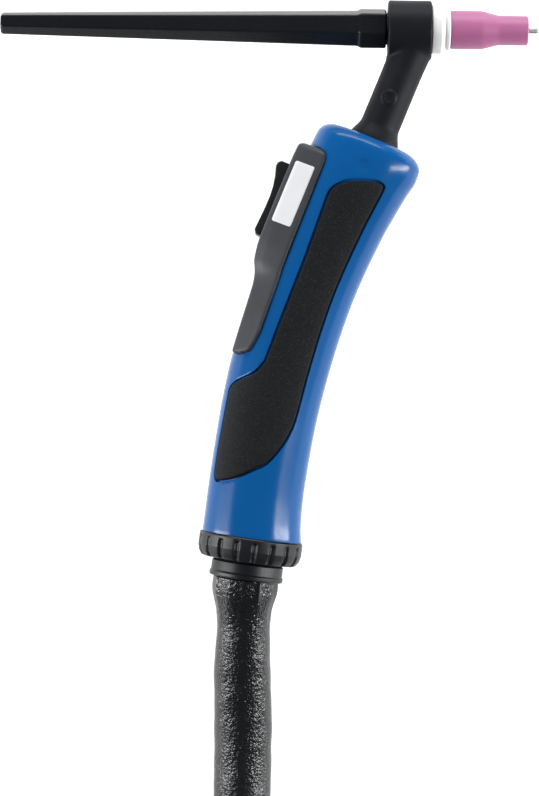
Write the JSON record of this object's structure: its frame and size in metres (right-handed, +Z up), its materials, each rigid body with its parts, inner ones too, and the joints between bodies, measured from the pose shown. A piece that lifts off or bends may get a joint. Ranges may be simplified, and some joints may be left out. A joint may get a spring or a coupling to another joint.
{
  "type": "tig torch",
  "caption": "Gas cooled TIG welding torch with a curved handle, rocker switch, long back cap, ball swivel and a sleeved hose coiled for storage.",
  "frame": {"origin": "centre of the torch's box on the surface that it lies on, measured without the hose's coil and what is on it", "axes": "+X along the electrode towards its tip, +Y along the surface away from the hose, +Z up"},
  "size_m": [0.2553, 0.6063, 0.0955],
  "materials": {
    "head_rubber": "matte moulded silicone",
    "brass": "turned",
    "copper": "drawn tube",
    "insulator": "white, waxy",
    "alumina": "pink, unglazed",
    "tungsten": "ground grey",
    "cap_black": "gloss black",
    "shell_blue": "satin blue",
    "grip_rubber": "speckled matte",
    "steel": "plain",
    "switch_grey": "satin dark grey",
    "rocker_black": "satin black",
    "board_green": "solder mask",
    "label_pale": "plain pale plate",
    "liner_white": "bearing nylon",
    "nut_black": "moulded",
    "hose_leather": "grained black sleeve",
    "cable_rubber": "cable sheath",
    "strap_fabric": "hook and loop webbing"
  },
  "bodies": {
    "hose": {"swivel_ball": "nut_black", "hose_clamp": "steel", "hose_lead": "hose_leather", "hose_coil": "hose_leather", "coil_straps": "strap_fabric", "splitter_boot": "cable_rubber", "power_tail": "cable_rubber", "power_plug_grip": "cable_rubber", "power_plug_pin": "brass", "control_tail": "cable_rubber", "control_plug_body": "nut_black", "control_plug_pins": "brass"},
    "liner": {"swivel_liner": "liner_white"},
    "race": {"swivel_race": "nut_black"},
    "handle": {"head_cover": "head_rubber", "head_core": "brass", "neck_tube": "copper", "collet_body": "copper", "shell_upper": "shell_blue", "shell_lower": "shell_blue", "grip_pad_upper": "grip_rubber", "grip_pad_lower": "grip_rubber", "shell_screws": "steel", "switch_housing": "switch_grey", "rocker_pin": "steel", "rocker_springs": "steel", "micro_switches": "rocker_black", "switch_board": "board_green", "blank_labels": "label_pale", "cable_coupling": "brass", "handle_cable": "cable_rubber", "ring_nut": "nut_black"},
    "rocker": {"rocker_button": "rocker_black"},
    "clamping": {"collet": "copper", "back_cap_o_ring": "grip_rubber"},
    "cap": {"back_cap": "cap_black", "back_cap_insert": "brass"},
    "electrode": {"tungsten_electrode": "tungsten"},
    "insulator": {"heat_insulator": "insulator"},
    "nozzle": {"ceramic_nozzle": "alumina"}
  },
  "joints": [
    {"name": "swivel_yaw", "type": "hinge", "parent": "hose", "child": "liner", "pos_m": [-0.00377, -0.09052, 0.01915], "axis": [0, 0, 1], "range_deg": [-8, 8]},
    {"name": "swivel_pitch", "type": "hinge", "parent": "liner", "child": "race", "pos_m": [-0.00377, -0.09052, 0.01915], "axis": [0.9922, -0.125, 0], "range_deg": [-8, 8]},
    {"name": "swivel_spin", "type": "hinge", "parent": "race", "child": "handle", "pos_m": [-0.00377, -0.09052, 0.01915], "axis": [-0.125, -0.9922, 0], "range_deg": [-90, 90]},
    {"name": "rocker_press", "type": "hinge", "parent": "handle", "child": "rocker", "pos_m": [0.00692, 0.03147, 0.01915], "axis": [0, 0, 1], "range_deg": [-4, 4], "stiffness_Nm_per_rad": 0.35, "deforming": ["rocker_springs"]},
    {"name": "cap_travel", "type": "slide", "parent": "handle", "child": "clamping", "axis": [-1, 0, 0], "range_m": [0, 0.00501]},
    {"name": "cap_turn", "type": "hinge", "parent": "clamping", "child": "cap", "pos_m": [0.0431, 0.0971, 0.01915], "axis": [-1, 0, 0], "range_deg": [0, 1440]},
    {"name": "electrode_slide", "type": "slide", "parent": "clamping", "child": "electrode", "axis": [1, 0, 0], "range_m": [-0.012, 0.03]},
    {"name": "nozzle_travel", "type": "slide", "parent": "handle", "child": "insulator", "axis": [1, 0, 0], "range_m": [0, 0.00601]},
    {"name": "nozzle_turn", "type": "hinge", "parent": "insulator", "child": "nozzle", "pos_m": [0.0668, 0.0971, 0.01915], "axis": [1, 0, 0], "range_deg": [0, 1440]}
  ],
  "couplings": [
    {"joint": "cap_travel", "follows": "cap_turn", "m_per_rad": 0.00019894},
    {"joint": "nozzle_travel", "follows": "nozzle_turn", "m_per_rad": 0.00023873}
  ]
}
